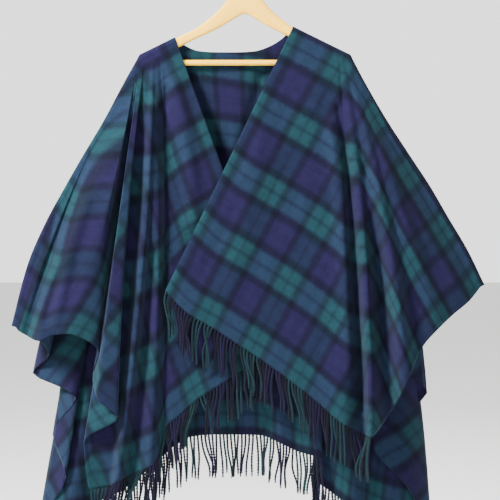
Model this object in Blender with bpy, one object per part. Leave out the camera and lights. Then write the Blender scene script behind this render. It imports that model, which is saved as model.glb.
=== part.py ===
"""A ruana, the open wrap woven as one wide cloth and cut down the front, hung on a wooden hanger.

The origin is the seat of the hook, the point of the hanger that rests on a rail. +Z is up, the open
front faces -Y and +X is to the right as the wrap is seen from the front. Sizes below are in
millimetres. A place on the wrap is given as seen from the front: "across" runs along +X from the hook
and "drop" runs down from it. "Depth" is how far cloth stands out from the plain hang of its own side.
"""

import math

import bmesh
import bpy
import numpy as np

MM = 0.001

# Cloth: the wall, the seam gap and the roll of the cloth over the arm of the hanger
WALL = 2.5
GAP = 0.3
ARM_THICKNESS = 12.0
ROLL = ARM_THICKNESS / 2 + GAP + WALL / 2

# The shoulder line of each side: along the arm, over its tip and down the fold of the wing
RIGHT_NECK = (96.0, 136.0)
RIGHT_TIP = (210.0, 192.0)
LEFT_NECK = (-140.0, 157.6)
LEFT_TIP = (-210.0, 192.0)
RIGHT_FOLD = [(234, 238), (280, 318), (328, 392), (370, 456), (406, 518), (444, 582), (478, 652)]
LEFT_FOLD = [(-237, 241), (-284, 328), (-324, 395), (-360, 458), (-399, 530), (-434, 612), (-466, 734)]
NECK_CURVE = [(-120, 173), (-104, 182), (-84, 186), (-34, 187), (12, 186), (38, 180), (62, 169), (82, 153)]

# Resolution of the cloth: rows down each fold line and spans between two fold lines
ROWS = 11
SPANS = 2
ROLL_STEPS = (0.0, 1.2, 4.2, 9.0)
EDGE_INSETS = (ROLL, 3.6, 1.0, 0.0)

# Fold lines of the front on the right, from the neck edge out to the shoulder fold
# start across, end across, end drop, bow, depth above, depth below, depth at the end
FRONT_RIGHT_FOLDS = [
    (96, -160, 664, 0, 12, 20, 22),
    (118, -116, 708, 0, 11, 17, 19),
    (136, -62, 740, 0, 10, 13, 15),
    (150, -10, 774, 0, 9, 11, 13),
    (161, 44, 810, 2, 9, 10, 12),
    (170, 96, 848, 4, 8, 11, 14),
    (177, 146, 888, 6, 9, 13, 17),
    (182, 198, 932, 6, 12, 22, 28),
    (187, 238, 950, 2, 6, 6, 7),
    (192, 252, 956, 16, 26, 50, 56),
    (197, 288, 910, 14, 18, 18, 20),
    (202, 322, 850, 16, 36, 62, 72),
    (206, 352, 780, 10, 30, 42, 44),
    (210, 384, 742, 4, 32, 46, 50),
    (213, 416, 711, 2, 24, 28, 30),
    (217, 448, 684, 2, 18, 22, 24),
]

# Fold lines of the front on the left, from the neck edge out to the shoulder fold
FRONT_LEFT_FOLDS = [
    (-140, 82, 765, 0, 3, 3, 3),
    (-147, 22, 806, 0, 3, 3, 3),
    (-153, -40, 846, 0, 3, 3, 3),
    (-159, -98, 884, 2, 3, 3, 4),
    (-164, -136, 918, 6, 3, 5, 7),
    (-168, -154, 932, 8, 5, 7, 8),
    (-171, -165, 960, 10, 3, 3, 5),
    (-173.5, -176, 996, 11, 7, 11, 16),
    (-176, -193, 1018, 10, 14, 24, 30),
    (-180, -226, 1030, 12, 16, 10, 9),
    (-184, -256, 1046, 14, 26, 36, 38),
    (-188, -274, 1056, 4, 9, 8, 9),
    (-192, -310, 1061, 0, 9, 9, 14),
    (-196, -322, 968, 0, 14, 14, 20),
    (-200, -255, 918, -10, 32, 44, 48),
    (-204, -294, 882, -5, 34, 50, 54),
    (-208, -304, 836, 4, 8, 8, 12),
    (-211, -292, 786, -12, 26, 34, 36),
    (-214, -352, 750, 14, 34, 48, 52),
    (-216, -382, 752, -4, 32, 42, 44),
    (-219, -412, 764, -18, 30, 40, 42),
    (-222, -438, 752, -20, 6, 3, 3),
    (-226, -452, 744, -16, 14, 18, 20),
]

# Fold lines of the back, from the left wing across the neck to the right wing
BACK_FOLDS = [
    (-226, -446, 742, -14, 16, 22, 24),
    (-222, -418, 756, -14, 26, 42, 48),
    (-218, -392, 792, -8, 12, 16, 20),
    (-214, -424, 828, -22, 30, 52, 60),
    (-210, -338, 878, 2, 12, 14, 16),
    (-206, -384, 950, -16, 28, 50, 62),
    (-201, -358, 1036, -8, 14, 18, 20),
    (-196, -410, 1116, -16, 26, 50, 70),
    (-190, -352, 1098, 0, 14, 22, 30),
    (-184, -300, 1086, 0, 24, 44, 56),
    (-172, -246, 1062, 0, 12, 16, 20),
    (-158, -196, 1022, 0, 16, 26, 34),
    (-140, -152, 982, 0, 9, 10, 12),
    (-138.5, -147, 978, 0, 8, 10, 12),
    (-134, -138, 972, 0, 8, 10, 13),
    (-120, -112, 956, 0, 8, 12, 18),
    (-92, -62, 951, 0, 8, 6, 8),
    (-58, -14, 951, 0, 14, 16, 20),
    (-20, 30, 952, 0, 12, 22, 26),
    (16, 66, 966, 0, 10, 10, 10),
    (50, 104, 984, 0, 8, 14, 20),
    (76, 132, 992, 6, 6, 8, 10),
    (90, 144, 996, 7, 8, 10, 11),
    (94.5, 151, 1000, 8, 9, 11, 14),
    (96, 154, 1010, 8, 10, 16, 24),
    (124, 136, 1036, 6, 18, 34, 44),
    (152, 168, 1062, 6, 16, 28, 36),
    (168, 212, 1094, 4, 12, 18, 22),
    (180, 264, 1118, 2, 24, 44, 56),
    (188, 318, 1136, 4, 16, 24, 34),
    (195, 372, 1142, 34, 32, 58, 72),
    (201, 326, 1058, 15, 16, 22, 22),
    (206, 254, 966, -6, 10, 12, 14),
    (211, 364, 868, 26, 34, 54, 62),
    (215, 300, 806, 4, 12, 14, 16),
    (219, 384, 738, 8, 26, 44, 52),
    (223, 410, 708, 4, 14, 20, 22),
    (227, 446, 682, 4, 14, 20, 24),
]

# Which fold lines carry the hem: the panel's other lines end on its side edges
FRONT_RIGHT_HEM = (0, 9)
FRONT_LEFT_HEM = (0, 12)
BACK_HEM = (7, 30)

# Fringe: a strip on each hem, and the strands twisted from the warp that hang from it
STRIP_HEIGHT = 3.0
STRIP_WALL = 1.6
STRIP_GAP = 0.7
STRAND_PITCH = 17.0
STRAND_WIDTH = 4.0
STRAND_LENGTH = 84.0
STRAND_SWAY = 5.0

# Hanger, each station of an arm: across, drop of its top, drop of its underside, half thickness
ARM_STATIONS = [
    (0.0, 65.0, 110.0, 6.0),
    (20.0, 71.0, 119.0, 6.0),
    (34.0, 82.0, 127.0, 6.0),
    (50.0, 103.0, 136.0, 6.0),
    (70.0, 121.5, 146.0, 6.0),
    (95.3, 137.4, 158.4, 6.0),
    (134.0, 156.4, 178.0, 6.0),
    (182.3, 180.1, 201.6, 6.0),
    (182.6, 180.3, 214.0, 6.0),
    (196.0, 186.9, 214.0, 6.0),
    (204.0, 190.8, 211.0, 5.6),
    (209.5, 194.6, 204.0, 3.6),
]
ARM_RING = 12
ARM_TOP_ROUND = 6.7
ARM_UNDER_ROUND = 4.0
BAR_RADIUS = 5.6
BAR_DROP = 207.6
BAR_END = 182.0
HOOK_WIRE = 1.8
HOOK_INSIDE = 19.0
HOOK_LIP_DEGREES = 205
HOOK_NECK_DROP = 52.0
HOOK_START_DEGREES = -50
HOOK_STEPS = 18

# Finish of each object: base colour, roughness, metallic
FINISHES = {
    "hanger_arms": ((0.72, 0.50, 0.24), 0.45, 0.0),
    "hanger_bar": ((0.74, 0.53, 0.27), 0.45, 0.0),
    "hanger_hook": ((0.62, 0.62, 0.62), 0.25, 1.0),
    "front_right": ((0.03, 0.06, 0.12), 0.95, 0.0),
    "front_left": ((0.03, 0.05, 0.12), 0.95, 0.0),
    "back": ((0.02, 0.05, 0.10), 0.95, 0.0),
    "fringe_front_right": ((0.02, 0.05, 0.09), 0.95, 0.0),
    "fringe_front_left": ((0.02, 0.05, 0.09), 0.95, 0.0),
    "fringe_back": ((0.02, 0.05, 0.09), 0.95, 0.0),
}


def clear_scene():
    for obj in list(bpy.data.objects):
        bpy.data.objects.remove(obj, do_unlink=True)


def finish(name):
    """The material of the object of this name."""
    color, roughness, metallic = FINISHES[name]
    made = bpy.data.materials.new(name + "_finish")
    made.use_nodes = True
    shader = made.node_tree.nodes["Principled BSDF"]
    shader.inputs["Base Color"].default_value = (*color, 1.0)
    shader.inputs["Roughness"].default_value = roughness
    shader.inputs["Metallic"].default_value = metallic
    return made


def add_node(name, points, faces):
    """A named object from points in millimetres (across, depth, up), with its faces turned outwards."""
    mesh = bpy.data.meshes.new(name)
    mesh.from_pydata((np.asarray(points) * MM).tolist(), [], faces)
    shape = bmesh.new()
    shape.from_mesh(mesh)
    bmesh.ops.recalc_face_normals(shape, faces=shape.faces)
    shape.to_mesh(mesh)
    shape.free()
    mesh.shade_smooth()
    mesh.set_sharp_from_angle(angle=math.radians(50))
    mesh.materials.append(finish(name))
    node = bpy.data.objects.new(name, mesh)
    bpy.context.scene.collection.objects.link(node)


def smooth(stations, values, wanted):
    """A curve through `values` at `stations` that never swings past them, read at each `wanted`."""
    stations = np.asarray(stations, float)
    values = np.asarray(values, float)
    wanted = np.asarray(wanted, float)
    tail = (1,) * (values.ndim - 1)
    step = np.diff(stations).reshape(-1, *tail)
    rise = np.diff(values, axis=0) / step
    before, after = rise[:-1], rise[1:]
    turning = before * after <= 0
    inner = np.where(turning, 0.0, 2 * before * after / np.where(turning, 1.0, before + after))
    slope = np.concatenate([rise[:1], inner, rise[-1:]])
    span = np.clip(np.searchsorted(stations, wanted, side="right") - 1, 0, len(stations) - 2)
    width = step[span]
    u = (wanted - stations[span]).reshape(-1, *tail) / width
    blend = u * u * (3 - 2 * u)
    return (
        values[span] * (1 - blend)
        + values[span + 1] * blend
        + slope[span] * width * u * (1 - u) ** 2
        - slope[span + 1] * width * u * u * (1 - u)
    )


def ease(amount):
    """0 to 1 with a soft start and end."""
    amount = np.clip(amount, 0.0, 1.0)
    return amount * amount * (3 - 2 * amount)


class ShoulderLine:
    """The line that a side's front and back share, straight on the arm and curved down the wing."""

    def __init__(self, neck, tip, fold):
        corners = np.array([tip, *fold], float)
        along = np.concatenate([[0.0], np.cumsum(np.hypot(*np.diff(corners, axis=0).T))])
        curve = smooth(along, corners, np.linspace(0.0, along[-1], 60))
        self.points = np.vstack([np.array([neck], float), curve])
        steps = np.hypot(*np.diff(self.points, axis=0).T)
        self.along = np.concatenate([[0.0], np.cumsum(steps)])
        self.out = math.copysign(1.0, tip[0])

    def at(self, distance):
        """Places (n, 2) at these distances from the neck."""
        across = np.interp(distance, self.along, self.points[:, 0])
        drop = np.interp(distance, self.along, self.points[:, 1])
        return np.stack([across, drop], axis=-1)

    def distance_at(self, across):
        """How far from the neck the line passes this place across."""
        return float(np.interp(across * self.out, self.points[:, 0] * self.out, self.along))

    def clearance(self, places):
        """Distance of each place (..., 2) from the line."""
        start, end = self.points[:-1], self.points[1:]
        run = end - start
        offset = places[..., None, :] - start
        part = np.clip((offset * run).sum(-1) / (run * run).sum(-1), 0.0, 1.0)
        return np.sqrt(((offset - part[..., None] * run) ** 2).sum(-1)).min(-1)


RIGHT_SHOULDER = ShoulderLine(RIGHT_NECK, RIGHT_TIP, RIGHT_FOLD)
LEFT_SHOULDER = ShoulderLine(LEFT_NECK, LEFT_TIP, LEFT_FOLD)


def top_edge(across):
    """Where a fold line that starts this far across leaves the top edge of its panel."""
    if across >= RIGHT_NECK[0]:
        return RIGHT_SHOULDER.at(RIGHT_SHOULDER.distance_at(across))
    if across <= LEFT_NECK[0]:
        return LEFT_SHOULDER.at(LEFT_SHOULDER.distance_at(across))
    curve = np.array([LEFT_NECK, *NECK_CURVE, RIGHT_NECK], float)
    return np.array([across, np.interp(across, curve[:, 0], curve[:, 1])])


def row_parts(length):
    """Where the rows lie along a line of this length: close over the roll, then even to the end."""
    first = np.array(ROLL_STEPS) / length
    return np.concatenate([first, np.linspace(first[-1], 1.0, ROWS + 1)[1:]])


def fold_line(row):
    """One row of a table as places (rows, 3): across, drop and depth."""
    start_across, end_across, end_drop, bow, above, below, at_end = row
    start = top_edge(start_across)
    end = np.array([end_across, end_drop], float)
    part = row_parts(np.hypot(*(end - start)))
    places = start + (end - start) * part[:, None]
    places[:, 0] += bow * 4 * part * (1 - part)
    depth = smooth([0.0, 0.3, 0.65, 1.0], [0.0, above, below, at_end], part)
    return np.column_stack([places, depth])


def edge_line(shoulder, order):
    """A line that follows the wing's shoulder fold, set in from it by one of EDGE_INSETS."""
    tip = shoulder.distance_at(RIGHT_TIP[0] if shoulder.out > 0 else LEFT_TIP[0])
    start = tip + 36 + 3.0 * order
    end = shoulder.along[-1]
    part = row_parts(end - start)
    distance = start + (end - start) * part
    places = shoulder.at(distance)
    ahead = shoulder.at(distance + 1.0) - shoulder.at(distance - 1.0)
    ahead /= np.hypot(*ahead.T)[:, None]
    inward = np.column_stack([-ahead[:, 1], ahead[:, 0]]) * shoulder.out
    inset = EDGE_INSETS[order] * ease((distance - start) / 30)
    return np.column_stack([places + inward * inset[:, None], np.zeros(len(part))])


def edge_lines(shoulder):
    return [edge_line(shoulder, order) for order in range(len(EDGE_INSETS))]


def cloth_middle(lines, shoulders, facing):
    """The middle of a panel's wall, (columns, rows, 3) in across, depth and up, and its normals.

    `facing` is -1 for a front and +1 for the back. Cloth rolls over the shoulder line it hangs from,
    then hangs ROLL out from the middle of the hanger, and its folds stand out from there.
    """
    stations = np.arange(len(lines))
    columns = np.linspace(0, len(lines) - 1, (len(lines) - 1) * SPANS + 1)
    grid = smooth(stations, np.array(lines), columns)
    near = np.min([shoulder.clearance(grid[..., :2]) for shoulder in shoulders], axis=0)
    rolled = np.minimum(near, ROLL)
    roll = GAP / 2 + np.sqrt(rolled * (2 * ROLL - rolled))
    depth = roll + grid[..., 2] * ease(near / 60)
    middle = np.stack([grid[..., 0], facing * depth, -grid[..., 1]], axis=-1)
    normal = np.cross(np.gradient(middle, axis=0), np.gradient(middle, axis=1))
    normal /= np.linalg.norm(normal, axis=-1, keepdims=True)
    # On the shoulder line the wall is cut square, so that front and back meet face to face there
    on_line = near < 0.02
    flat = normal * (1.0, 0.0, 1.0)
    flat /= np.maximum(np.linalg.norm(flat, axis=-1, keepdims=True), 1e-9)
    return middle, np.where(on_line[..., None], flat, normal)


def wall_faces(columns, rows):
    """Faces of a closed wall whose two skins are (columns, rows) grids of points, one after the other."""
    skin = columns * rows

    def point(layer, column, row):
        return layer * skin + column * rows + row

    faces = []
    for layer in (0, 1):
        for c in range(columns - 1):
            for r in range(rows - 1):
                corners = [point(layer, c, r), point(layer, c + 1, r)]
                corners += [point(layer, c + 1, r + 1), point(layer, c, r + 1)]
                faces.append(corners)
    rim = [(c, 0) for c in range(columns)] + [(columns - 1, r) for r in range(1, rows)]
    rim += [(c, rows - 1) for c in range(columns - 2, -1, -1)] + [(0, r) for r in range(rows - 2, 0, -1)]
    for here, there in zip(rim, rim[1:] + rim[:1]):
        faces.append([point(0, *here), point(0, *there), point(1, *there), point(1, *here)])
    return faces


def cloth_panel(name, lines, shoulders, facing):
    middle, normal = cloth_middle(lines, shoulders, facing)
    skins = np.concatenate([middle + normal * WALL / 2, middle - normal * WALL / 2])
    skins[..., 1] = facing * np.maximum(facing * skins[..., 1], GAP / 2)
    add_node(name, skins.reshape(-1, 3), wall_faces(*middle.shape[:2]))
    return middle, normal


def strip_runs(vertices):
    """Runs (start, end, holds a root) that cover a hem, given how far along it each of its corners lies."""
    runs = []
    for start, end in zip(vertices[:-1], vertices[1:]):
        strands = round((end - start) / STRAND_PITCH)
        pitch = (end - start) / max(strands, 1)
        place = start
        for number in range(strands):
            root = start + pitch * (number + 0.5) - STRAND_WIDTH / 2
            runs += [(place, root, False), (root, root + STRAND_WIDTH, True)]
            place = root + STRAND_WIDTH
        runs.append((place, end, False))
    return runs


def fringe(name, panel, hem, lines_before=0):
    """The strip along a hem and its strands, as one body: each strand grows from the strip's underside."""
    middle, normal = panel
    first, last = ((number + lines_before) * SPANS for number in hem)
    edge = middle[first : last + 1, -1]
    out = normal[first : last + 1, -1]
    hem_run = np.gradient(edge, axis=0)
    down = np.cross(hem_run, out)
    down *= np.sign(((edge - middle[first : last + 1, -2]) * down).sum())
    down /= np.linalg.norm(down, axis=-1, keepdims=True)
    along = np.concatenate([[0.0], np.cumsum(np.linalg.norm(np.diff(edge, axis=0), axis=-1))])
    runs = strip_runs(along)

    points = []
    for distance in [runs[0][0]] + [end for _, end, _ in runs]:
        place, side, axis = (
            np.array([np.interp(distance, along, column) for column in source.T])
            for source in (edge, out, down)
        )
        top = place + axis * STRIP_GAP
        foot = top + axis * STRIP_HEIGHT
        half = side * STRIP_WALL / 2
        points += [top + half, top - half, foot - half, foot + half]
    faces = [[0, 1, 2, 3], [len(points) - 1 - i for i in range(4)]]
    strands = 0
    for number, (_, _, is_root) in enumerate(runs):
        here, there = 4 * number, 4 * number + 4
        for a, b in ((0, 1), (1, 2), (3, 0)):
            faces.append([here + a, here + b, there + b, there + a])
        root = [here + 2, here + 3, there + 3, there + 2]
        if not is_root:
            faces.append(root)
            continue
        corners = np.array([points[i] for i in root])
        centre = corners.mean(axis=0)
        sway = STRAND_SWAY * math.sin(2.4 * strands)
        length = STRAND_LENGTH * (0.93 + 0.07 * math.sin(1.7 * strands))
        tip = centre + (sway, 0.0, -length)
        base = len(points)
        points += [tip + (corner - centre) * (0.6, 0.6, 0.0) for corner in corners]
        for a in range(4):
            b = (a + 1) % 4
            faces.append([root[a], root[b], base + b, base + a])
        faces.append([base + i for i in range(4)])
        strands += 1
    add_node(name, points, faces)


def arm_ring(across, top, under, half):
    """A section of the wooden arm: round over its top and softly round below."""
    points = []
    for i in range(ARM_RING):
        turn = 2 * math.pi * i / ARM_RING
        up = math.cos(turn)
        centre, reach = (top + under) / 2, 0.0
        if up > 1e-6:
            centre, reach = top + ARM_TOP_ROUND, ARM_TOP_ROUND
        elif up < -1e-6:
            centre, reach = under - ARM_UNDER_ROUND, ARM_UNDER_ROUND
        points.append((across, half * math.sin(turn), -(centre - up * reach)))
    return points


def hanger_arms():
    """Both arms and the crown between them, cut from one board."""
    left = [(-across, *rest) for across, *rest in reversed(ARM_STATIONS[1:])]
    rings = [arm_ring(*station) for station in left + ARM_STATIONS]
    points = [point for ring in rings for point in ring]
    faces = [list(range(ARM_RING)), [len(points) - 1 - i for i in range(ARM_RING)]]
    for r in range(len(rings) - 1):
        for i in range(ARM_RING):
            j = (i + 1) % ARM_RING
            here, there = r * ARM_RING, (r + 1) * ARM_RING
            faces.append([here + i, here + j, there + j, there + i])
    add_node("hanger_arms", points, faces)


def tube(name, route, radius, sides):
    """A wire or bar along a route of places (across, drop) in the middle plane, with capped ends."""
    curve = bpy.data.curves.new(name, "CURVE")
    curve.dimensions = "3D"
    curve.bevel_depth = radius * MM
    curve.bevel_resolution = sides // 4
    curve.use_fill_caps = True
    spline = curve.splines.new("POLY")
    spline.points.add(len(route) - 1)
    for point, (across, drop) in zip(spline.points, route):
        point.co = (across * MM, 0.0, -drop * MM, 1.0)
    curve.materials.append(finish(name))
    node = bpy.data.objects.new(name, curve)
    bpy.context.scene.collection.objects.link(node)


def hook_route():
    """Up from the crown, round the outside and over the top to the lip, with the seat at the origin."""
    radius = HOOK_INSIDE + HOOK_WIRE
    route = [(0.0, ARM_STATIONS[0][1] - GAP), (0.0, HOOK_NECK_DROP)]
    for step in range(HOOK_STEPS + 1):
        sweep = HOOK_LIP_DEGREES - HOOK_START_DEGREES
        turn = math.radians(HOOK_START_DEGREES + sweep * step / HOOK_STEPS)
        route.append((radius * math.cos(turn), HOOK_INSIDE - radius * math.sin(turn)))
    return route


def main():
    clear_scene()
    hanger_arms()
    tube("hanger_bar", [(-BAR_END, BAR_DROP), (BAR_END, BAR_DROP)], BAR_RADIUS, sides=16)
    tube("hanger_hook", hook_route(), HOOK_WIRE, sides=8)

    right_edge = edge_lines(RIGHT_SHOULDER)
    left_edge = edge_lines(LEFT_SHOULDER)
    right = [fold_line(row) for row in FRONT_RIGHT_FOLDS] + right_edge
    left = [fold_line(row) for row in FRONT_LEFT_FOLDS] + left_edge
    back = left_edge[::-1] + [fold_line(row) for row in BACK_FOLDS] + right_edge

    panel = cloth_panel("front_right", right, [RIGHT_SHOULDER], -1)
    fringe("fringe_front_right", panel, FRONT_RIGHT_HEM)
    panel = cloth_panel("front_left", left, [LEFT_SHOULDER], -1)
    fringe("fringe_front_left", panel, FRONT_LEFT_HEM)
    panel = cloth_panel("back", back, [LEFT_SHOULDER, RIGHT_SHOULDER], 1)
    fringe("fringe_back", panel, BACK_HEM, lines_before=len(left_edge))


main()
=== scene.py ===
"""A tartan ruana hung crossed over itself on a wooden hanger.

Lengths in the tables are millimetres, as seen from the front: across to the right of the hook, drop
down from its seat, and depth out from the plain hang of that side of the cloth.
"""

import math

import bpy
import numpy as np
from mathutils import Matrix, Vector


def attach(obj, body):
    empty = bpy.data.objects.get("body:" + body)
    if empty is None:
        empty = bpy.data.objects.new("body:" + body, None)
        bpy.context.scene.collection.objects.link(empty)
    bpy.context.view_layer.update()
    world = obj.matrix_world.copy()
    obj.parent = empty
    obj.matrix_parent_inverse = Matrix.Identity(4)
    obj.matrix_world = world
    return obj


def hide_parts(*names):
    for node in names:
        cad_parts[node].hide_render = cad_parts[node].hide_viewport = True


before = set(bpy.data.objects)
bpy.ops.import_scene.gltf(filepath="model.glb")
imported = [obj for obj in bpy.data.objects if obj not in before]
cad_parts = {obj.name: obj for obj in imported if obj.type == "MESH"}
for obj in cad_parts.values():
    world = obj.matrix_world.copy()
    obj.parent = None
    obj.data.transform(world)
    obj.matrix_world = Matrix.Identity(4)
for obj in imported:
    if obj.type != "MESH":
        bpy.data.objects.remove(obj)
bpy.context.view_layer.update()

MM = 0.001

# Cloth: its wall, the radius of its roll over the arm, the rows of the grid down each fold line and
# where the first of them lie, and how far in a fold may go
WALL = 2.2
ROLL = 7.55
ROWS = 132
ROLL_STEPS = (0.0, 0.25, 0.8, 1.8, 3.2, 5.2, 7.6, 10.5)
LEAST_DEPTH = -4.5

# Shares of a fold line's length at which the tables give its depth, the first of them nothing
DEPTH_STATIONS = (0.0, 0.3, 0.65, 1.0)

# Folds grow to their full depth this far from the shoulder line. Closer than the second, cloth is on it.
FOLD_GROWTH = 60.0
ON_LINE = 0.02

# Ripples in the cloth: height, length along the weft, length along the warp
RIPPLES = [(1.1, 34, 120), (0.45, 13, 30)]

# Lines that follow a wing's fold: how far in from it each lies, how far past the arm's tip the first
# starts and each next one after it, and over what length they draw in
EDGE_INSETS = (ROLL, 3.6, 1.0, 0.0)
EDGE_START = 36.0
EDGE_DELAY = 3.0
EDGE_GROWTH = 30.0

# The shoulder line of each side: along the arm, over its tip and down the fold of the wing
FOLD_POINTS = 60
RIGHT_NECK = (96.0, 136.0)
RIGHT_TIP = (210.0, 192.0)
LEFT_NECK = (-140.0, 157.6)
LEFT_TIP = (-210.0, 192.0)
RIGHT_FOLD = [(234, 238), (280, 318), (328, 392), (370, 456), (406, 518), (444, 582), (478, 652)]
LEFT_FOLD = [(-237, 241), (-284, 328), (-324, 395), (-360, 458), (-399, 530), (-434, 612), (-466, 734)]
NECK_CURVE = [(-120, 173), (-104, 182), (-84, 186), (-34, 187), (12, 186), (38, 180), (62, 169), (82, 153)]

# Fold lines of the front on the right, from the neck edge out to the shoulder fold
# start across, end across, end drop, bow, depth above, depth below, depth at the end
FRONT_RIGHT_FOLDS = [
    (96, -160, 664, 0, 12, 20, 22),
    (118, -116, 708, 0, 11, 17, 19),
    (136, -62, 740, 0, 10, 13, 15),
    (150, -10, 774, 0, 9, 11, 13),
    (161, 44, 810, 2, 9, 10, 12),
    (170, 96, 848, 4, 8, 11, 14),
    (177, 146, 888, 6, 9, 13, 17),
    (182, 198, 932, 6, 12, 22, 28),
    (187, 238, 950, 2, 6, 6, 7),
    (192, 252, 956, 16, 26, 50, 56),
    (197, 288, 910, 14, 18, 18, 20),
    (202, 322, 850, 16, 36, 62, 72),
    (206, 352, 780, 10, 30, 42, 44),
    (210, 384, 742, 4, 32, 46, 50),
    (213, 416, 711, 2, 24, 28, 30),
    (217, 448, 684, 2, 18, 22, 24),
]

# Fold lines of the front on the left, from the neck edge out to the shoulder fold
FRONT_LEFT_FOLDS = [
    (-140, 82, 765, 0, 3, 3, 3),
    (-147, 22, 806, 0, 3, 3, 3),
    (-153, -40, 846, 0, 3, 3, 3),
    (-159, -98, 884, 2, 3, 3, 4),
    (-164, -136, 918, 6, 3, 5, 7),
    (-168, -154, 932, 8, 5, 7, 8),
    (-171, -165, 960, 10, 3, 3, 5),
    (-173.5, -176, 996, 11, 7, 11, 16),
    (-176, -193, 1018, 10, 14, 24, 30),
    (-180, -226, 1030, 12, 16, 10, 9),
    (-184, -256, 1046, 14, 26, 36, 38),
    (-188, -274, 1056, 4, 9, 8, 9),
    (-192, -310, 1061, 0, 9, 9, 14),
    (-196, -322, 968, 0, 14, 14, 20),
    (-200, -255, 918, -10, 32, 44, 48),
    (-204, -294, 882, -5, 34, 50, 54),
    (-208, -304, 836, 4, 8, 8, 12),
    (-211, -292, 786, -12, 26, 34, 36),
    (-214, -352, 750, 14, 34, 48, 52),
    (-216, -382, 752, -4, 32, 42, 44),
    (-219, -412, 764, -18, 30, 40, 42),
    (-222, -438, 752, -20, 6, 3, 3),
    (-226, -452, 744, -16, 14, 18, 20),
]

# Fold lines of the back, from the left wing across the neck to the right wing
BACK_FOLDS = [
    (-226, -446, 742, -14, 16, 22, 24),
    (-222, -418, 756, -14, 26, 42, 48),
    (-218, -392, 792, -8, 12, 16, 20),
    (-214, -424, 828, -22, 30, 52, 60),
    (-210, -338, 878, 2, 12, 14, 16),
    (-206, -384, 950, -16, 28, 50, 62),
    (-201, -358, 1036, -8, 14, 18, 20),
    (-196, -410, 1116, -16, 26, 50, 70),
    (-190, -352, 1098, 0, 14, 22, 30),
    (-184, -300, 1086, 0, 24, 44, 56),
    (-172, -246, 1062, 0, 12, 16, 20),
    (-158, -196, 1022, 0, 16, 26, 34),
    (-140, -152, 982, 0, 9, 10, 12),
    (-138.5, -147, 978, 0, 8, 10, 12),
    (-134, -138, 972, 0, 8, 10, 13),
    (-120, -112, 956, 0, 8, 12, 18),
    (-92, -62, 951, 0, 8, 6, 8),
    (-58, -14, 951, 0, 14, 16, 20),
    (-20, 30, 952, 0, 12, 22, 26),
    (16, 66, 966, 0, 10, 10, 10),
    (50, 104, 984, 0, 8, 14, 20),
    (76, 132, 992, 6, 6, 8, 10),
    (90, 144, 996, 7, 8, 10, 11),
    (94.5, 151, 1000, 8, 9, 11, 14),
    (96, 154, 1010, 8, 10, 16, 24),
    (124, 136, 1036, 6, 18, 34, 44),
    (152, 168, 1062, 6, 16, 28, 36),
    (168, 212, 1094, 4, 12, 18, 22),
    (180, 264, 1118, 2, 24, 44, 56),
    (188, 318, 1136, 4, 16, 24, 34),
    (195, 372, 1142, 34, 32, 58, 72),
    (201, 326, 1058, 15, 16, 22, 22),
    (206, 254, 966, -6, 10, 12, 14),
    (211, 364, 868, 26, 34, 54, 62),
    (215, 300, 806, 4, 12, 14, 16),
    (219, 384, 738, 8, 26, 44, 52),
    (223, 410, 708, 4, 14, 20, 22),
    (227, 446, 682, 4, 14, 20, 24),
]

# Each panel as its pattern is laid out: how many edge lines come before its table, which lines of the
# table carry the hem, its width, its length from shoulder to hem, the places of the first green band
# across the width and down the length, and the columns of the grid from one line to the next
FRONT_RIGHT = {
    "before": 0, "hem": (0, 9), "width": 660, "length": 585, "warp": -10, "weft": 34, "spans": 8,
}
FRONT_LEFT = {
    "before": 0, "hem": (0, 12), "width": 677, "length": 607, "warp": -3, "weft": 55, "spans": 7,
}
BACK = {
    "before": len(EDGE_INSETS), "hem": (7, 30), "width": 1627, "length": 700, "warp": 80, "weft": 0,
    "spans": 4,
}

# The back's pattern at the two neck points: across, place along the width, how far above the zero of
# the length
BACK_TOP = [(-140.0, 677.0, 37.0), (96.0, 967.0, 98.0)]

# On the left wing the cloth has crept back over its fold: by how much, between which places along the
# width, and how far down from the fold the creep has died away
WING_CREEP = 40.0
CREEP_WIDTH = (110.0, 520.0)
CREEP_REACH = 330.0

# The camera stands square to the front, this far from the hanger. Places in the tables are as it
# sees them against the hanger's own plane, so cloth nearer or farther is drawn in or out to match.
CAMERA_ACROSS = 10.0
CAMERA_DROP = 582.0
CAMERA_AWAY = 2230.0
CAMERA_LENS = 80.3
CAMERA_SENSOR = 36


def smooth(stations, values, wanted):
    """A curve through `values` at `stations` that never swings past them, read at each `wanted`."""
    stations = np.asarray(stations, float)
    values = np.asarray(values, float)
    wanted = np.asarray(wanted, float)
    tail = (1,) * (values.ndim - 1)
    step = np.diff(stations).reshape(-1, *tail)
    rise = np.diff(values, axis=0) / step
    before, after = rise[:-1], rise[1:]
    turning = before * after <= 0
    inner = np.where(turning, 0.0, 2 * before * after / np.where(turning, 1.0, before + after))
    slope = np.concatenate([rise[:1], inner, rise[-1:]])
    span = np.clip(np.searchsorted(stations, wanted, side="right") - 1, 0, len(stations) - 2)
    width = step[span]
    u = (wanted - stations[span]).reshape(-1, *tail) / width
    blend = u * u * (3 - 2 * u)
    return (
        values[span] * (1 - blend)
        + values[span + 1] * blend
        + slope[span] * width * u * (1 - u) ** 2
        - slope[span + 1] * width * u * u * (1 - u)
    )


def ease(amount):
    """0 to 1 with a soft start and end."""
    amount = np.clip(amount, 0.0, 1.0)
    return amount * amount * (3 - 2 * amount)


def soft_noise(x, y, seed):
    """Smooth noise from -1 to 1 with one bump or hollow about every unit of x and y."""
    size = 64
    values = np.random.default_rng(seed).uniform(-1, 1, (size, size))
    column, row = np.floor(x).astype(int), np.floor(y).astype(int)
    u, v = ease(x - column), ease(y - row)
    corner = [values[(column + i) % size, (row + j) % size] for i in (0, 1) for j in (0, 1)]
    return (corner[0] * (1 - v) + corner[1] * v) * (1 - u) + (corner[2] * (1 - v) + corner[3] * v) * u


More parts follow.
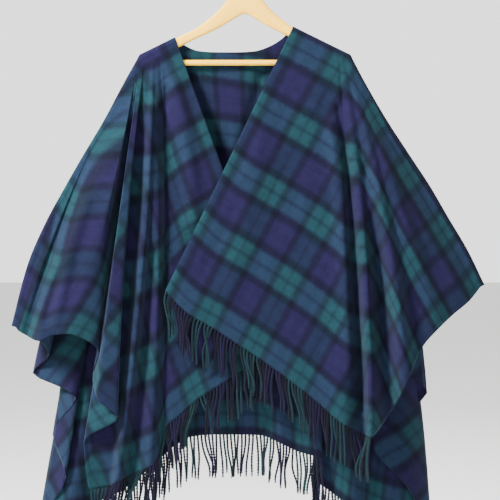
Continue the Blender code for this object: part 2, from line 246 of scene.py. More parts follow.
def distance_to(path, places):
    """Distance of each place (..., 2) from a path through some points."""
    start, run = path[:-1], np.diff(path, axis=0)
    offset = places[..., None, :] - start
    part = np.clip((offset * run).sum(-1) / (run * run).sum(-1), 0.0, 1.0)
    return np.sqrt(((offset - part[..., None] * run) ** 2).sum(-1)).min(-1)


class ShoulderLine:
    """The line that a side's front and back share, straight on the arm and curved down the wing."""

    def __init__(self, neck, tip, fold):
        corners = np.array([tip, *fold], float)
        along = np.concatenate([[0.0], np.cumsum(np.hypot(*np.diff(corners, axis=0).T))])
        curve = smooth(along, corners, np.linspace(0.0, along[-1], FOLD_POINTS))
        self.points = np.vstack([np.array([neck], float), curve])
        steps = np.hypot(*np.diff(self.points, axis=0).T)
        self.along = np.concatenate([[0.0], np.cumsum(steps)])
        self.out = math.copysign(1.0, tip[0])
        self.tip = float(np.hypot(tip[0] - neck[0], tip[1] - neck[1]))

    def at(self, distance):
        """Places (n, 2) at these distances from the neck."""
        across = np.interp(distance, self.along, self.points[:, 0])
        drop = np.interp(distance, self.along, self.points[:, 1])
        return np.stack([across, drop], axis=-1)

    def distance_at(self, across):
        """How far from the neck the line passes this place across."""
        return float(np.interp(across * self.out, self.points[:, 0] * self.out, self.along))


RIGHT_SHOULDER = ShoulderLine(RIGHT_NECK, RIGHT_TIP, RIGHT_FOLD)
LEFT_SHOULDER = ShoulderLine(LEFT_NECK, LEFT_TIP, LEFT_FOLD)


def top_edge(across):
    """Where a fold line that starts this far across leaves the top edge of its panel."""
    if across >= RIGHT_NECK[0]:
        return RIGHT_SHOULDER.at(RIGHT_SHOULDER.distance_at(across))
    if across <= LEFT_NECK[0]:
        return LEFT_SHOULDER.at(LEFT_SHOULDER.distance_at(across))
    curve = np.array([LEFT_NECK, *NECK_CURVE, RIGHT_NECK], float)
    return np.array([across, np.interp(across, curve[:, 0], curve[:, 1])])


def row_parts(length):
    """Where the rows lie along a line of this length: close over the roll, then even to the end."""
    first = np.array(ROLL_STEPS) / length
    return np.concatenate([first, np.linspace(first[-1], 1.0, ROWS - len(ROLL_STEPS) + 1)[1:]])


def fold_line(row):
    """One row of a table as places (rows, 3): across, drop and depth; and how far along each lies."""
    start_across, end_across, end_drop, bow, above, below, at_end = row
    start = top_edge(start_across)
    end = np.array([end_across, end_drop], float)
    part = row_parts(np.hypot(*(end - start)))
    places = start + (end - start) * part[:, None]
    places[:, 0] += bow * 4 * part * (1 - part)
    depth = smooth(DEPTH_STATIONS, [0.0, above, below, at_end], part)
    return np.column_stack([places, depth, part])


def edge_line(shoulder, order):
    """A line that follows the wing's shoulder fold, set in from it by one of EDGE_INSETS."""
    start = shoulder.tip + EDGE_START + EDGE_DELAY * order
    end = shoulder.along[-1]
    part = row_parts(end - start)
    distance = start + (end - start) * part
    places = shoulder.at(distance)
    ahead = shoulder.at(distance + 1.0) - shoulder.at(distance - 1.0)
    ahead /= np.hypot(*ahead.T)[:, None]
    inward = np.column_stack([-ahead[:, 1], ahead[:, 0]]) * shoulder.out
    inset = EDGE_INSETS[order] * ease((distance - start) / EDGE_GROWTH)
    return np.column_stack([places + inward * inset[:, None], np.zeros(len(part)), part])


def edge_lines(shoulder):
    """The lines along a wing's fold, from the innermost to the fold itself."""
    return [edge_line(shoulder, order) for order in range(len(EDGE_INSETS))]


def run_along(places):
    """Distance to each of some places from the first of them."""
    return np.concatenate([[0.0], np.cumsum(np.linalg.norm(np.diff(places, axis=0), axis=-1))])


def flat_ends(lines, flat):
    """Where each line ends on the flat panel: (along the weft, along the warp)."""
    ends = np.array([line[-1, :3] for line in lines])
    first, last = (number + flat["before"] for number in flat["hem"])
    width, length = flat["width"], flat["length"]
    places = np.zeros((len(lines), 2))
    hem = run_along(ends[first : last + 1])
    places[first : last + 1, 0] = width * hem / hem[-1]
    places[first : last + 1, 1] = length
    if first:
        side = run_along(ends[: first + 1])
        places[: first + 1, 1] = length * side / side[-1]
    side = run_along(ends[last:])
    places[last:, 0] = width
    places[last:, 1] = length * (1 - side / side[-1])
    return places


def neck_drop(part):
    """Drop of the straight line from the left neck point to the right one, at a share of its length."""
    return LEFT_NECK[1] + (RIGHT_NECK[1] - LEFT_NECK[1]) * part


def flat_tops(lines, shoulders):
    """Where each line starts on the flat panel. One shoulder is a front, two are the back."""
    places = []
    for line in lines:
        across = line[0, 0]
        if len(shoulders) == 1:
            places.append((shoulders[0].distance_at(across), 0.0))
            continue
        left, right = BACK_TOP
        if across <= left[0]:
            places.append((left[1] - LEFT_SHOULDER.distance_at(across), -left[2]))
        elif across >= right[0]:
            places.append((right[1] + RIGHT_SHOULDER.distance_at(across), -right[2]))
        else:
            part = (across - left[0]) / (right[0] - left[0])
            width = left[1] + (right[1] - left[1]) * part
            height = left[2] + (right[2] - left[2]) * part
            places.append((width, line[0, 1] - neck_drop(part) - height))
    return np.array(places)


def crease_depth(places, creases):
    """Depth added at each place by the listed creases."""
    total = np.zeros(places.shape[:-1])
    for width, height, path in creases:
        distance = distance_to(np.array(path, float), places)
        total += height * np.exp(-((distance / width) ** 2))
    return total


def crept(laid):
    """Flat places of the left front, moved along the warp by the cloth's creep over its wing's fold."""
    first, last = CREEP_WIDTH
    along = np.clip((laid[..., 0] - first) / (last - first), 0.0, 1.0)
    share = np.sin(math.pi * along) * (1 - ease(laid[..., 1] / CREEP_REACH))
    return laid + share[..., None] * (0.0, WING_CREEP)


def as_seen(places):
    """Places moved along the camera's view so that they show where the hanger's plane has them."""
    centre = np.array([CAMERA_ACROSS, 0.0, -CAMERA_DROP])
    size = 1 + places[..., 1:2] / CAMERA_AWAY
    return centre + (places - centre) * np.concatenate([size, np.ones_like(size), size], axis=-1)


def cloth_grid(lines, flat, shoulders, facing, creases, seed):
    """The middle of a panel, (columns, rows, 3) in across, depth and up, its normals and flat places."""
    tops, ends = flat_tops(lines, shoulders), flat_ends(lines, flat)
    stations = np.arange(len(lines))
    columns = np.linspace(0, len(lines) - 1, (len(lines) - 1) * flat["spans"] + 1)
    rows = [
        np.column_stack([line[:, :3], top + (end - top) * line[:, 3:]])
        for line, top, end in zip(lines, tops, ends)
    ]
    grid = smooth(stations, np.array(rows), columns)
    near = np.min([distance_to(shoulder.points, grid[..., :2]) for shoulder in shoulders], axis=0)
    rolled = np.minimum(near, ROLL)
    roll = np.sqrt(rolled * (2 * ROLL - rolled))
    ripple = sum(
        height * soft_noise(grid[..., 3] / along_weft, grid[..., 4] / along_warp, seed + number)
        for number, (height, along_weft, along_warp) in enumerate(RIPPLES)
    )
    folds = grid[..., 2] + crease_depth(grid[..., :2], creases) + ripple
    depth = roll + np.maximum(folds, LEAST_DEPTH) * ease(near / FOLD_GROWTH)
    middle = as_seen(np.stack([grid[..., 0], facing * depth, -grid[..., 1]], axis=-1))
    normal = np.cross(np.gradient(middle, axis=0), np.gradient(middle, axis=1))
    normal /= np.linalg.norm(normal, axis=-1, keepdims=True)
    # On the shoulder line the wall is cut square, so that front and back meet face to face there
    level = normal * (1.0, 0.0, 1.0)
    level /= np.maximum(np.linalg.norm(level, axis=-1, keepdims=True), 1e-9)
    return middle, np.where((near < ON_LINE)[..., None], level, normal), grid[..., 3:]


def wall_faces(columns, rows):
    """Faces of a closed wall whose two skins are (columns, rows) grids of points, one after the other."""
    index = np.arange(2 * columns * rows).reshape(2, columns, rows)
    faces = []
    for skin, turned in zip(index, (False, True)):
        quads = np.stack([skin[:-1, :-1], skin[1:, :-1], skin[1:, 1:], skin[:-1, 1:]], axis=-1)
        quads = quads.reshape(-1, 4)
        faces.append(quads[:, ::-1] if turned else quads)
    front, back = index
    for rim in (
        lambda skin: skin[:, 0][::-1],
        lambda skin: skin[0, :],
        lambda skin: skin[:, -1],
        lambda skin: skin[-1, :][::-1],
    ):
        near, far = rim(front), rim(back)
        faces.append(np.stack([near[:-1], near[1:], far[1:], far[:-1]], axis=-1))
    return np.concatenate(faces).tolist()


def add_piece(name, points, faces, finish, flat=None):
    """A named mesh from points in millimetres, with the flat places of its vertices as its UV map."""
    mesh = bpy.data.meshes.new(name)
    mesh.from_pydata((np.asarray(points) * MM).tolist(), [], faces)
    mesh.shade_smooth()
    if flat is not None:
        uv = mesh.uv_layers.new(name="flat")
        corner = np.zeros(len(mesh.loops), np.int32)
        mesh.loops.foreach_get("vertex_index", corner)
        uv.data.foreach_set("uv", (np.asarray(flat) * MM)[corner].astype(np.float32).ravel())
    mesh.materials.append(finish)
    piece = bpy.data.objects.new(name, mesh)
    bpy.context.scene.collection.objects.link(piece)
    return piece


def cloth_piece(name, grid, finish):
    """A panel's closed wall, half its thickness to either side of the grid."""
    middle, normal, flat = grid
    skins = np.concatenate([middle + normal * WALL / 2, middle - normal * WALL / 2])
    places = np.concatenate([flat, flat])
    return add_piece(
        name, skins.reshape(-1, 3), wall_faces(*middle.shape[:2]), finish, places.reshape(-1, 2)
    )


# Strands: how far apart they stand, their length and between which shares of it they vary, how deep the
# root is sunk in the hem, the radius of a ply and how far its middle winds from the strand's as a share
# of it, the run of one turn of the twist, and the sides and steps of a ply
STRAND = {
    "pitch": 7.6, "length": 88.0, "shares": (0.9, 1.04), "sunk": 1.5, "ply": 1.55, "winding": 0.85,
    "twist": 12.0, "sides": 5, "steps": 24,
}

# The end of a strand thins over this share of its length, by this share of its thickness
THIN_LENGTH = 0.14
THINNING = 0.45

# Shares of its length over which a strand turns straight down and drifts sideways, and how many half
# waves it makes sideways and outwards
TURN = 0.35
DRIFT = 0.8
SIDE_WAVES = 1.7
OUT_WAVES = 0.9

# Bunches: how many strands, how far each is drawn to the middle, the spread of a bunch's lean and of
# one strand's drift and bend, and how far strands stand out, with the least share of that
BUNCH = {
    "least": 1, "most": 5, "draw": 0.35, "lean": 8.4, "drift": 2.5, "bend": 2.6, "lift": 4.0,
    "least_lift": 0.2,
}


def strand_route(root, down, out, pull, bend, length):
    """Middle line of a strand that leaves the hem along the warp, turns down and drifts sideways."""
    steps = STRAND["steps"]
    part = np.linspace(0.0, 1.0, steps + 1)[:, None]
    level = np.array([1.0, 0.0, 0.0])
    turn = ease(part / TURN)
    heading = down * (1 - turn) + np.array([0.0, 0.0, -1.0]) * turn
    step = length / steps
    route = root + np.vstack([np.zeros((1, 3)), np.cumsum(heading[1:] * step, axis=0)])
    bending = bend * np.sin(part * math.pi * SIDE_WAVES) * part
    route = route + level * (pull * ease(part / DRIFT) + bending)
    return route + out * (BUNCH["lift"] * np.sin(part * math.pi * OUT_WAVES))


def twisted_yarn(route, phase):
    """Two plies wound round a route, as rings of points (2 plies, rings, sides, 3)."""
    ahead = np.gradient(route, axis=0)
    ahead /= np.linalg.norm(ahead, axis=-1, keepdims=True)
    side = np.cross(ahead, (0.0, 1.0, 0.0))
    side /= np.linalg.norm(side, axis=-1, keepdims=True)
    third = np.cross(ahead, side)
    distance = run_along(route)
    thin_end = (distance - distance[-1] * (1 - THIN_LENGTH)) / (distance[-1] * THIN_LENGTH)
    radius = STRAND["ply"] * (1 - THINNING * ease(thin_end))[:, None]
    plies = []
    for ply in (0, 1):
        turn = (2 * math.pi * distance / STRAND["twist"] + phase + math.pi * ply)[:, None]
        wound = side * np.cos(turn) + third * np.sin(turn)
        centre = route + wound * STRAND["ply"] * STRAND["winding"]
        rings = []
        for number in range(STRAND["sides"]):
            around = 2 * math.pi * number / STRAND["sides"]
            rings.append(centre + (side * math.cos(around) + third * math.sin(around)) * radius)
        plies.append(np.stack(rings, axis=1))
    return np.array(plies)


def tube_faces(rings, sides, base):
    """Faces of a closed tube whose ring points are numbered from `base`."""
    index = base + np.arange(rings * sides).reshape(rings, sides)
    around = np.roll(index, -1, axis=1)
    walls = np.stack([index[:-1], around[:-1], around[1:], index[1:]], axis=-1).reshape(-1, 4)
    return walls.tolist() + [index[0][::-1].tolist(), index[-1].tolist()]


def turned_faces(faces):
    """The same faces with their other side out, for tubes whose rings run the other way round."""
    return [face[::-1] for face in faces]


def bunches(roots, random):
    """Neighbouring roots gathered into bunches, each with its lean. Only one of two draws is used."""
    gathered = []
    number = 0
    while number < len(roots):
        size = int(random.integers(BUNCH["least"], BUNCH["most"] + 1))
        gathered.append((roots[number : number + size], random.normal(0, 1, 2)[0]))
        number += size
    return gathered


def fringe_piece(name, grid, flat, finish, seed):
    """The strands of a hem, twisted in pairs of plies and gathered into bunches that lean together."""
    middle, normal, laid = grid
    first, last = ((number + flat["before"]) * flat["spans"] for number in flat["hem"])
    edge = middle[first : last + 1, -1]
    above = middle[first : last + 1, -4]
    out = normal[first : last + 1, -1]
    warp = laid[first : last + 1, -1, 0]
    along = run_along(edge)
    random = np.random.default_rng(seed)
    count = int(along[-1] / STRAND["pitch"])
    roots = (np.arange(count) + 0.5) * along[-1] / count

    def at(source, distance):
        return np.array([np.interp(distance, along, column) for column in source.T])

    points, faces, places = [], [], []
    for members, lean in bunches(roots, random):
        centre = at(edge, members.mean())
        for distance in members:
            root = at(edge, distance)
            down = root - at(above, distance)
            down /= np.linalg.norm(down)
            facing = at(out, distance)
            facing /= np.linalg.norm(facing)
            if facing[1] * middle[0, -1, 1] < 0:
                facing = -facing
            draw = (centre - root)[0] * BUNCH["draw"]
            pull = draw + BUNCH["lean"] * lean + random.normal(0, BUNCH["drift"])
            bend = random.normal(0, BUNCH["bend"])
            length = STRAND["length"] * random.uniform(*STRAND["shares"])
            start = root - down * STRAND["sunk"]
            lifted = facing * random.uniform(BUNCH["least_lift"], 1.0)
            route = strand_route(start, down, lifted, pull, bend, length)
            for ply in twisted_yarn(route, random.uniform(0, 2 * math.pi)):
                faces += tube_faces(len(ply), STRAND["sides"], len(points))
                points += ply.reshape(-1, 3).tolist()
                depth = np.repeat(run_along(route), STRAND["sides"])
                place = np.interp(distance, along, warp)
                places += np.column_stack([np.full(len(depth), place), depth]).tolist()
    return add_piece(name, points, faces, finish, places)


# Tartan: threads of each colour from the middle of the wide blue to the middle of the narrow blue
# The black guards inside the blue are felted over by the nap and show as a darker blue only
SETT = [
    ("blue", 12), ("guard", 4), ("blue", 4), ("guard", 4), ("blue", 4), ("black", 20), ("green", 24),
    ("line", 6), ("green", 24), ("black", 20), ("blue", 22), ("guard", 4), ("blue", 2),
]
HALF_SETT = 150
THREAD = 0.88
GREEN_MIDDLE = 75
# Whole repeats added before the folding, so that it never sees a place below zero
REPEATS_AHEAD = 10
# How far, in threads, the nap blurs each colour's edge, and the most of a stripe's width it may take
MOST_BLUR = 0.46
BLUR = {"green": 3.6, "line": 2.2, "blue": 5.0, "guard": 1.8, "black": 5.5}
# Square roots of the colours of cloth woven in one colour, since warp and weft are multiplied.
# The weft is raised more by the brushing, so its colours count for more than the warp's.
WEFT = {
    "green": (0.081, 0.188, 0.196),
    "line": (0.062, 0.120, 0.136),
    "blue": (0.086, 0.074, 0.158),
    "guard": (0.076, 0.067, 0.138),
    "black": (0.050, 0.051, 0.084),
}
WARP = {
    "green": (0.066, 0.112, 0.141),
    "line": (0.057, 0.087, 0.109),
    "blue": (0.086, 0.075, 0.152),
    "guard": (0.076, 0.069, 0.135),
    "black": (0.053, 0.055, 0.087),
}


def new_material(name):
    """A material with its nodes, its links and its shader."""
    made = bpy.data.materials.new(name)
    made.use_nodes = True
    nodes, links = made.node_tree.nodes, made.node_tree.links
    return made, nodes, links, nodes["Principled BSDF"]


def set_inputs(node, values):
    """Give a node's inputs, by name, their values."""
    for name, value in values.items():
        node.inputs[name].default_value = value


def filled(node, operation, links, inputs):
    """The output of a maths node whose inputs are linked to sockets or set to values, in order."""
    node.operation = operation
    for socket, value in zip(node.inputs, inputs):
        if isinstance(value, bpy.types.NodeSocket):
            links.new(value, socket)
        else:
            socket.default_value = value
    return node.outputs[0]


def math_node(nodes, links, operation, *inputs):
    return filled(nodes.new("ShaderNodeMath"), operation, links, inputs)


def vector_node(nodes, links, operation, *inputs):
    return filled(nodes.new("ShaderNodeVectorMath"), operation, links, inputs)


def noise_node(nodes, links, vector, scale, detail=2.0, roughness=0.5):
    """Noise over a vector, so many waves to a metre of it. Its node also has a coloured output."""
    node = nodes.new("ShaderNodeTexNoise")
    set_inputs(node, {"Scale": scale, "Detail": detail, "Roughness": roughness})
    links.new(vector, node.inputs["Vector"])
    return node.outputs["Fac"]


def flat_place(nodes):
    """The place on the flat panel or board, from the flat map."""
    uv = nodes.new("ShaderNodeUVMap")
    uv.uv_map = "flat"
    return uv.outputs["UV"]


def roughen(nodes, links, shader, height, strength, distance):
    """Bump a shader's surface by a height, over a distance in metres."""
    bump = nodes.new("ShaderNodeBump")
    set_inputs(bump, {"Strength": strength, "Distance": distance})
    links.new(height, bump.inputs["Height"])
    links.new(bump.outputs["Normal"], shader.inputs["Normal"])


def sett_ramp(nodes, links, place, first_green, yarn):
    """Yarn colour at a place in metres, given where the first green band lies in millimetres."""
    threads = math_node(nodes, links, "MULTIPLY", place, 1 / (THREAD * MM))
    start = GREEN_MIDDLE - first_green / THREAD + 2 * HALF_SETT * REPEATS_AHEAD
    shifted = math_node(nodes, links, "ADD", threads, start)
    folded = math_node(nodes, links, "PINGPONG", shifted, float(HALF_SETT))
    share = math_node(nodes, links, "DIVIDE", folded, float(HALF_SETT))
    ramp = nodes.new("ShaderNodeValToRGB")
    links.new(share, ramp.inputs["Fac"])
    stops = ramp.color_ramp.elements
    edge = 0
    marks = []
    for colour, width in SETT:
        blur = min(BLUR[colour], MOST_BLUR * width)
        marks += [(edge + blur, colour), (edge + width - blur, colour)]
        edge += width
    marks[0] = (0, marks[0][1])
    marks[-1] = (HALF_SETT, marks[-1][1])
    for number, (thread, colour) in enumerate(marks):
        stop = stops[number] if number < 2 else stops.new(thread / HALF_SETT)
        stop.position = thread / HALF_SETT
        stop.color = (*yarn[colour], 1.0)
    return ramp.outputs["Color"]


def mottled(nodes, links, colour, vector, least):
    """A yarn colour mottled by the nap: coarse heather and fine fibres, both faint."""
    heather = noise_node(nodes, links, vector, 95.0, 3.0, 0.6)
    fibres = noise_node(nodes, links, vector, 900.0, 2.0, 0.6)
    both = math_node(nodes, links, "ADD", heather, fibres)
    gain = math_node(nodes, links, "MULTIPLY_ADD", both, 0.55, least)
    scaled = vector_node(nodes, links, "SCALE", colour)
    links.new(gain, scaled.node.inputs["Scale"])
    return scaled


def cloth_material(name, flat):
    """Brushed twill in the tartan, laid out by the cloth's own flat places."""
    made, nodes, links, shader = new_material(name)
    place = nodes.new("ShaderNodeTexCoord").outputs["Object"]
    wobble = noise_node(nodes, links, place, 260.0).node.outputs["Color"]
    offset = vector_node(
        nodes, links, "MULTIPLY_ADD", wobble, (0.006, 0.006, 0.0), (-0.003, -0.003, 0.0)
    )
    moved = vector_node(nodes, links, "ADD", flat_place(nodes), offset)
    split = nodes.new("ShaderNodeSeparateXYZ")
    links.new(moved, split.inputs[0])
    warp = sett_ramp(nodes, links, split.outputs["X"], flat["warp"], WARP)
    weft = sett_ramp(nodes, links, split.outputs["Y"], flat["weft"], WEFT)
    woven = vector_node(nodes, links, "MULTIPLY", warp, weft)
    links.new(mottled(nodes, links, woven, place, 0.45), shader.inputs["Base Color"])

    diagonal = math_node(nodes, links, "ADD", split.outputs["X"], split.outputs["Y"])
    twill = math_node(nodes, links, "SINE", math_node(nodes, links, "MULTIPLY", diagonal, 2800.0))
    nap = noise_node(nodes, links, place, 700.0, 3.0, 0.65)
    height = math_node(nodes, links, "MULTIPLY_ADD", twill, 0.07, nap)
    roughen(nodes, links, shader, height, strength=0.5, distance=0.0007)
    set_inputs(shader, {
        "Roughness": 0.95,
        "Specular IOR Level": 0.05,
        "Sheen Weight": 0.05,
        "Sheen Roughness": 0.5,
        "Sheen Tint": (0.45, 0.65, 0.85, 1.0),
    })
    return made


def yarn_material(name, flat):
    """The warp's own colours, in the twisted ends of its threads."""
    made, nodes, links, shader = new_material(name)
    place = nodes.new("ShaderNodeTexCoord").outputs["Object"]
    split = nodes.new("ShaderNodeSeparateXYZ")
    links.new(flat_place(nodes), split.inputs[0])
    # The colour tables hold square roots, so the warp's is multiplied by the weft's for the same band
    warp, weft = (
        sett_ramp(nodes, links, split.outputs["X"], flat["warp"], yarn) for yarn in (WARP, WEFT)
    )
    twisted = vector_node(nodes, links, "MULTIPLY", warp, weft)
    links.new(mottled(nodes, links, twisted, place, 0.1), shader.inputs["Base Color"])
    fibres = noise_node(nodes, links, place, 1400.0, 2.0, 0.6)
    roughen(nodes, links, shader, fibres, strength=0.4, distance=0.0005)
    set_inputs(shader, {
        "Roughness": 0.9,
        "Specular IOR Level": 0.05,
        "Sheen Weight": 0.06,
        "Sheen Roughness": 0.5,
    })
    return made


def wood_material():
    """Pale varnished wood whose grain runs along the flat map's first direction."""
    made, nodes, links, shader = new_material("pale_varnished_wood")
    stretched = vector_node(nodes, links, "MULTIPLY", flat_place(nodes), (9.0, 150.0, 1.0))
    grain = noise_node(nodes, links, stretched, 1.6, 4.0, 0.6)
    ramp = nodes.new("ShaderNodeValToRGB")
    links.new(grain, ramp.inputs["Fac"])
    stops = ramp.color_ramp.elements
    stops[0].position, stops[1].position = 0.36, 0.62
    stops[0].color = (0.72, 0.37, 0.012, 1.0)
    stops[1].color = (0.84, 0.49, 0.022, 1.0)
    links.new(ramp.outputs["Color"], shader.inputs["Base Color"])
    roughen(nodes, links, shader, grain, strength=0.12, distance=0.0004)
    set_inputs(shader, {
        "Roughness": 0.42,
        "Specular IOR Level": 0.3,
        "Coat Weight": 0.12,
        "Coat Roughness": 0.25,
    })
    return made


def steel_material():
    """Polished plating with faint wiping marks."""
    made, nodes, links, shader = new_material("polished_plating")
    place = nodes.new("ShaderNodeTexCoord").outputs["Object"]
    marks = noise_node(nodes, links, place, 220.0, 3.0, 0.6)
    rough = math_node(nodes, links, "MULTIPLY_ADD", marks, 0.12, 0.1)
    links.new(rough, shader.inputs["Roughness"])
    set_inputs(shader, {"Base Color": (0.66, 0.66, 0.65, 1.0), "Metallic": 1.0})
    return made


# Hanger, each station of an arm: across, drop of its top, drop of its underside, half thickness
ARM_STATIONS = [
    (0.0, 65.0, 110.0, 6.0),
    (20.0, 70.0, 119.0, 6.0),
    (34.0, 81.0, 127.5, 6.0),
    (50.0, 100.0, 137.0, 6.0),
    (70.0, 118.0, 147.0, 6.0),
    (84.0, 129.0, 153.6, 6.0),
    (95.3, 137.4, 158.4, 6.0),
    (134.0, 156.4, 178.0, 6.0),
    (182.3, 180.1, 201.6, 6.0),
    (182.6, 180.3, 214.0, 6.0),
    (196.0, 186.9, 214.0, 6.0),
    (204.0, 190.8, 211.0, 5.6),
    (209.5, 194.6, 204.0, 3.6),
]
ARM_RING = 28
ARM_TOP_ROUND = 6.2
ARM_UNDER_ROUND = 4.0
ARM_STEPS = 8
BAR_RADIUS = 5.6
BAR_DROP = 207.6
BAR_END = 182.0
BAR_STEPS = 60
# Length over which a bar's end rounds off, and how much of its radius is left at the very end
END_ROUND = 1.2
END_FACE = 0.4
# The grain's map: an arm's length for its run across, and how far the grain shifts with depth or with
# each side of a bar
ARM_LENGTHEN = 1.12
GRAIN_DEPTH = 3
GRAIN_SIDE = 2.0
HOOK_WIRE = 1.8
HOOK_INSIDE = 19.0
HOOK_LIP_DEGREES = 205
HOOK_START_DEGREES = -50
HOOK_NECK_DROP = 52.0
HOOK_SUNK = 1.0
HOOK_STEPS = 60
STEM_STEPS = 8


def arm_ring(top, under, half):
    """A section of the arm (depth, drop): round over its top, softly round below, flat between."""
    points = []
    for number in range(ARM_RING):
        turn = 2 * math.pi * (number + 0.5) / ARM_RING
        up = math.cos(turn)
        if up > 0:
            centre, reach = top + ARM_TOP_ROUND, ARM_TOP_ROUND
        else:
            centre, reach = under - ARM_UNDER_ROUND, ARM_UNDER_ROUND
        points.append((half * math.sin(turn), centre - up * reach))
    return points


def hanger_arms(finish):
    """Both arms and the crown between them, cut from one board."""
    left = [(-across, *rest) for across, *rest in reversed(ARM_STATIONS[1:])]
    stations = np.array(left + ARM_STATIONS)
    number = np.arange(len(stations))
    wanted = np.linspace(0, len(stations) - 1, (len(stations) - 1) * ARM_STEPS + 1)
    rings = smooth(number, stations, wanted)
    points, places = [], []
    for across, top, under, half in rings:
        for depth, drop in arm_ring(top, under, half):
            points.append((across, depth, -drop))
            places.append((abs(across) * ARM_LENGTHEN, drop - top + depth * GRAIN_DEPTH))
    faces = turned_faces(tube_faces(len(rings), ARM_RING, 0))
    return add_piece("hanger_board", points, faces, finish, places)


def round_bar(name, route, radius, sides, finish):
    """A bar or wire along a route of places (across, drop) in the middle plane, with rounded ends."""
    route = np.array([(across, 0.0, -drop) for across, drop in route])
    ahead = np.gradient(route, axis=0)
    ahead /= np.linalg.norm(ahead, axis=-1, keepdims=True)
    third = np.cross(ahead, (0.0, 1.0, 0.0))
    distance = run_along(route)
    points, places = [], []
    end = np.minimum(distance, distance[-1] - distance)
    rounded = 1 - (1 - np.minimum(end / END_ROUND, 1.0)) ** 2
    size = radius * np.sqrt(np.clip(rounded, END_FACE**2, 1.0))
    for number in range(len(route)):
        for side in range(sides):
            turn = 2 * math.pi * side / sides
            out = third[number] * math.cos(turn) + np.array([0.0, 1.0, 0.0]) * math.sin(turn)
            points.append(route[number] + out * size[number])
            places.append((distance[number], side * GRAIN_SIDE))
    faces = turned_faces(tube_faces(len(route), sides, 0))
    return add_piece(name, points, faces, finish, places)


def hook_route():
    """Up from the crown, round the outside and over the top to the lip, with the seat at the origin."""
    radius = HOOK_INSIDE + HOOK_WIRE
    sweep = HOOK_LIP_DEGREES - HOOK_START_DEGREES
    route = []
    for step in range(HOOK_STEPS + 1):
        turn = math.radians(HOOK_START_DEGREES + sweep * step / HOOK_STEPS)
        route.append((radius * math.cos(turn), HOOK_INSIDE - radius * math.sin(turn)))
    foot = ARM_STATIONS[0][1] + HOOK_SUNK
    stem = [(0.0, foot + (HOOK_NECK_DROP - foot) * part) for part in np.linspace(0, 1, STEM_STEPS)]
    across, drop = route[0]
    bend = [
        (across * part, HOOK_NECK_DROP + (drop - HOOK_NECK_DROP) * part) for part in (0.25, 0.5, 0.75)
    ]
    return stem + bend + route


# Creases, given one by one: width, depth added along it, and its path (across, drop)
RIGHT_CREASES = [
    (9, 7, [(214, 400), (246, 448), (252, 496)]),
    (11, 6, [(240, 640), (240, 742)]),
    (12, -6, [(274, 582), (274, 682)]),
    (13, 7, [(306, 646), (316, 774)]),
    (7, -7, [(186, 300), (206, 430), (222, 620), (236, 900)]),
    (12, 8, [(170, 330), (186, 450), (204, 640), (212, 820)]),
    (26, 4, [(40, 300), (0, 520), (-30, 660)]),
]
LEFT_CREASES = [
    (5, 3, [(-212, 206), (-218, 264), (-222, 292), (-234, 352), (-238, 376)]),
    (18, 11, [(-140, 250), (-112, 400), (-104, 520)]),
    (8, -7, [(-158, 262), (-162, 340), (-160, 420), (-158, 560), (-162, 760)]),
    (16, 9, [(-188, 300), (-184, 420), (-182, 560)]),
    (12, -9, [(-330, 480), (-372, 600), (-398, 720)]),
    (12, 7, [(-318, 480), (-352, 600), (-378, 730)]),
]
BACK_CREASES = [
    (10, 9, [(-110, 222), (-46, 402)]),
    (10, 9, [(34, 232), (-10, 402)]),
]


def build_cloth():
    """Each panel of cloth with the strands of its hem, by node."""
    right_edge, left_edge = edge_lines(RIGHT_SHOULDER), edge_lines(LEFT_SHOULDER)
    right = [fold_line(row) for row in FRONT_RIGHT_FOLDS] + right_edge
    left = [fold_line(row) for row in FRONT_LEFT_FOLDS] + left_edge
    back = left_edge[::-1] + [fold_line(row) for row in BACK_FOLDS] + right_edge
    panels = [
        ("front_right", right, FRONT_RIGHT, [RIGHT_SHOULDER], -1, RIGHT_CREASES, 11),
        ("front_left", left, FRONT_LEFT, [LEFT_SHOULDER], -1, LEFT_CREASES, 23),
        ("back", back, BACK, [LEFT_SHOULDER, RIGHT_SHOULDER], 1, BACK_CREASES, 37),
    ]
    made = {}
    for node, lines, flat, shoulders, facing, creases, seed in panels:
        grid = cloth_grid(lines, flat, shoulders, facing, creases, seed)
        if node == "front_left":
            grid = (*grid[:2], crept(grid[2]))
        cloth = cloth_piece("cloth_" + node, grid, cloth_material("tartan_" + node, flat))
        strands = fringe_piece(
            "strands_" + node, grid, flat, yarn_material("yarn_" + node, flat), seed + 5
        )
        made[node] = (cloth, strands)
    return made


wood, steel = wood_material(), steel_material()
board = hanger_arms(wood)
bar_route = [(across, BAR_DROP) for across in np.linspace(-BAR_END, BAR_END, BAR_STEPS)]
bar = round_bar("trouser_bar", bar_route, BAR_RADIUS, 28, wood)
hook = round_bar("hook_wire", hook_route(), HOOK_WIRE, 16, steel)
cloth = build_cloth()

for piece, node, slot in (
    (board, "hanger_arms", "pale_wood"),
    (bar, "hanger_bar", "pale_wood"),
    (hook, "hanger_hook", "hook_steel"),
):
    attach(piece, "root")
    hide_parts(node)

for node, (panel, strands) in cloth.items():
    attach(panel, "root")
    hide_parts(node)
    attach(strands, "root")
    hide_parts("fringe_" + node)

# Stage: a pale floor, daylight and three soft lamps, in metres
FLOOR_DROP = 1.52
FLOOR_SIZE = 60

# Daylight comes more from the white wall behind the wrap than from the room in front of it. It changes
# from one to the other between these two values of a direction's Y.
WALL_LIGHT = 2.1
ROOM_LIGHT = 0.6
LIGHT_CHANGE = (-0.6, 0.8)

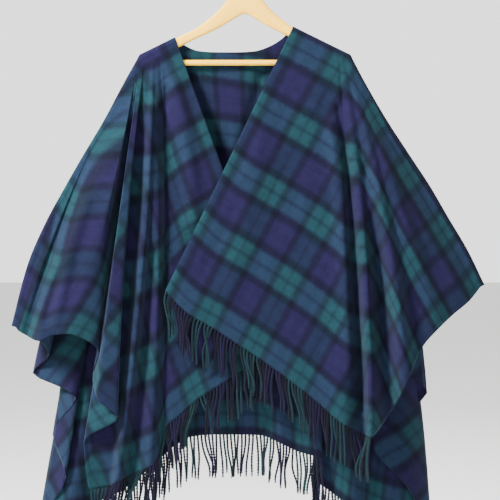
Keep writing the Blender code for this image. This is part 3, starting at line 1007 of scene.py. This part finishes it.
# Lamps, each turned to the middle of the wrap: name, place, size, power
LAMP_TARGET = (0, 0, -0.6)
LAMPS = [
    ("key_lamp", (-1.9, -1.5, 1.3), 0.7, 510),
    ("front_lamp", (0.4, -3.2, 0.2), 0.9, 60),
    ("back_lamp", (1.5, 2.4, 1.2), 1.6, 40),
]


def add_floor():
    """A pale matt floor well below the fringe."""
    bpy.ops.mesh.primitive_plane_add(size=FLOOR_SIZE, location=(0, 0, -FLOOR_DROP))
    floor = bpy.context.object
    floor.name = "floor"
    finish, _, _, shader = new_material("pale_floor")
    set_inputs(shader, {"Base Color": (0.93, 0.93, 0.92, 1.0), "Roughness": 0.9})
    floor.data.materials.append(finish)


def daylight():
    """A white world, brighter behind the wrap than in front of it."""
    made = bpy.data.worlds.new("daylight")
    made.use_nodes = True
    nodes, links = made.node_tree.nodes, made.node_tree.links
    sky = nodes["Background"]
    sky.inputs["Color"].default_value = (1.0, 1.0, 1.0, 1.0)
    heading = nodes.new("ShaderNodeSeparateXYZ")
    links.new(nodes.new("ShaderNodeTexCoord").outputs["Generated"], heading.inputs[0])
    level = nodes.new("ShaderNodeMapRange")
    links.new(heading.outputs["Y"], level.inputs["Value"])
    low, high = LIGHT_CHANGE
    set_inputs(level, {"From Min": low, "From Max": high, "To Min": ROOM_LIGHT, "To Max": WALL_LIGHT})
    links.new(level.outputs["Result"], sky.inputs["Strength"])
    return made


def soft_lamp(name, place, size, power):
    """A square lamp turned to the middle of the wrap."""
    light = bpy.data.lights.new(name, "AREA")
    light.shape = "SQUARE"
    light.size = size
    light.energy = power
    lamp = bpy.data.objects.new(name, light)
    lamp.location = place
    lamp.rotation_euler = (Vector(LAMP_TARGET) - Vector(place)).to_track_quat("-Z", "Y").to_euler()
    bpy.context.scene.collection.objects.link(lamp)


add_floor()
bpy.context.scene.world = daylight()
for lamp in LAMPS:
    soft_lamp(*lamp)

camera = bpy.data.objects.new("camera", bpy.data.cameras.new("camera"))
camera.data.lens = CAMERA_LENS
camera.data.sensor_width = CAMERA_SENSOR
camera.location = (CAMERA_ACROSS * MM, -CAMERA_AWAY * MM, -CAMERA_DROP * MM)
camera.rotation_euler = (math.radians(90), 0, 0)
bpy.context.scene.collection.objects.link(camera)
bpy.context.scene.camera = camera
